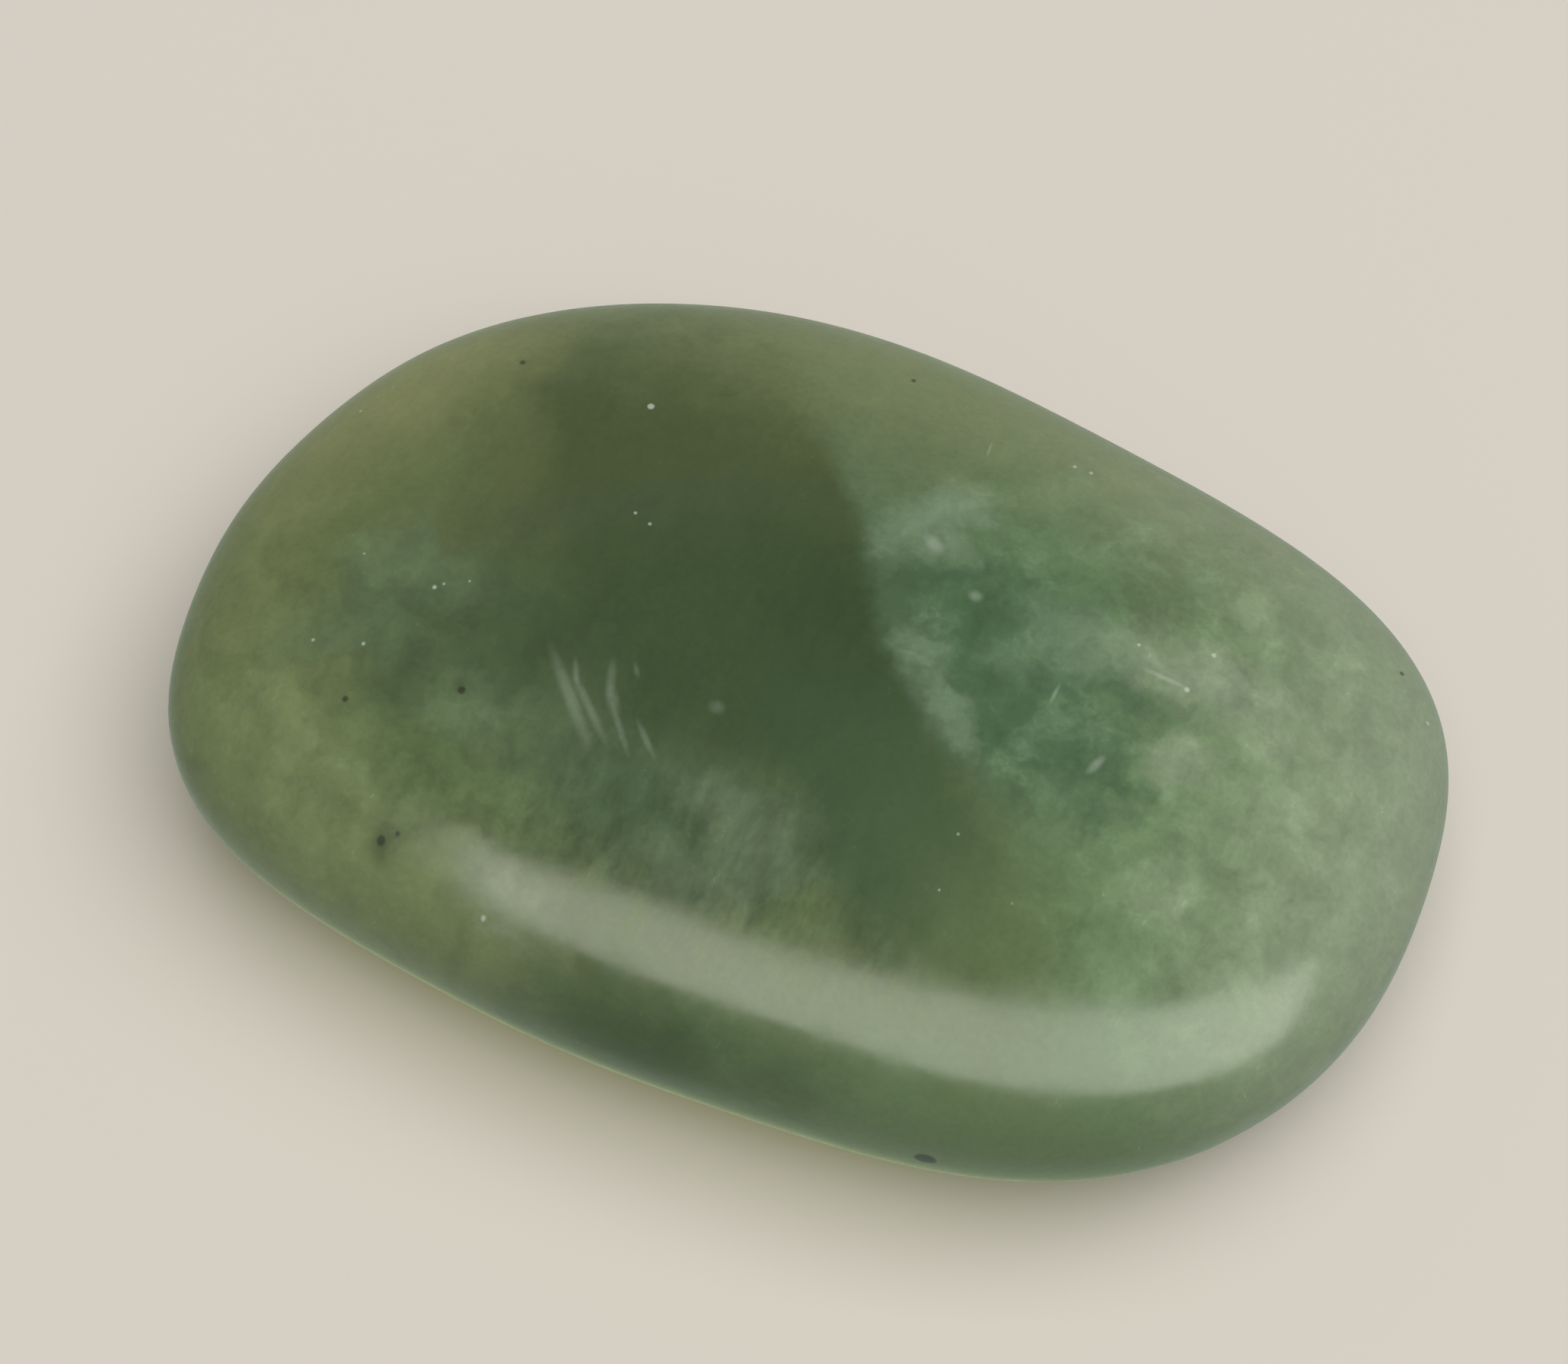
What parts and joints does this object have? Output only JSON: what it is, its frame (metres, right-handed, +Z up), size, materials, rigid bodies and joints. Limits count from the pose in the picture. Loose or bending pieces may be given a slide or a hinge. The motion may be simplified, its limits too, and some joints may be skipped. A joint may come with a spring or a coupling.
{
  "type": "polished bowenite stone",
  "caption": "Tumbled and polished pebble of green bowenite, a flat rounded oval that lies on a small flat spot.",
  "frame": {"origin": "middle of the base of the stone's bounding box, on the small flat it lies on", "axes": "+X along the stone's longest way, towards its broader end; +Y across its width; +Z up, its shortest way"},
  "size_m": [0.048, 0.0314, 0.0141],
  "materials": {
    "bowenite": "tumbled to a soft polish, milky and slightly translucent green with darker clear patches"
  },
  "bodies": {
    "root": {"polished_bowenite": "bowenite"}
  },
  "joints": []
}
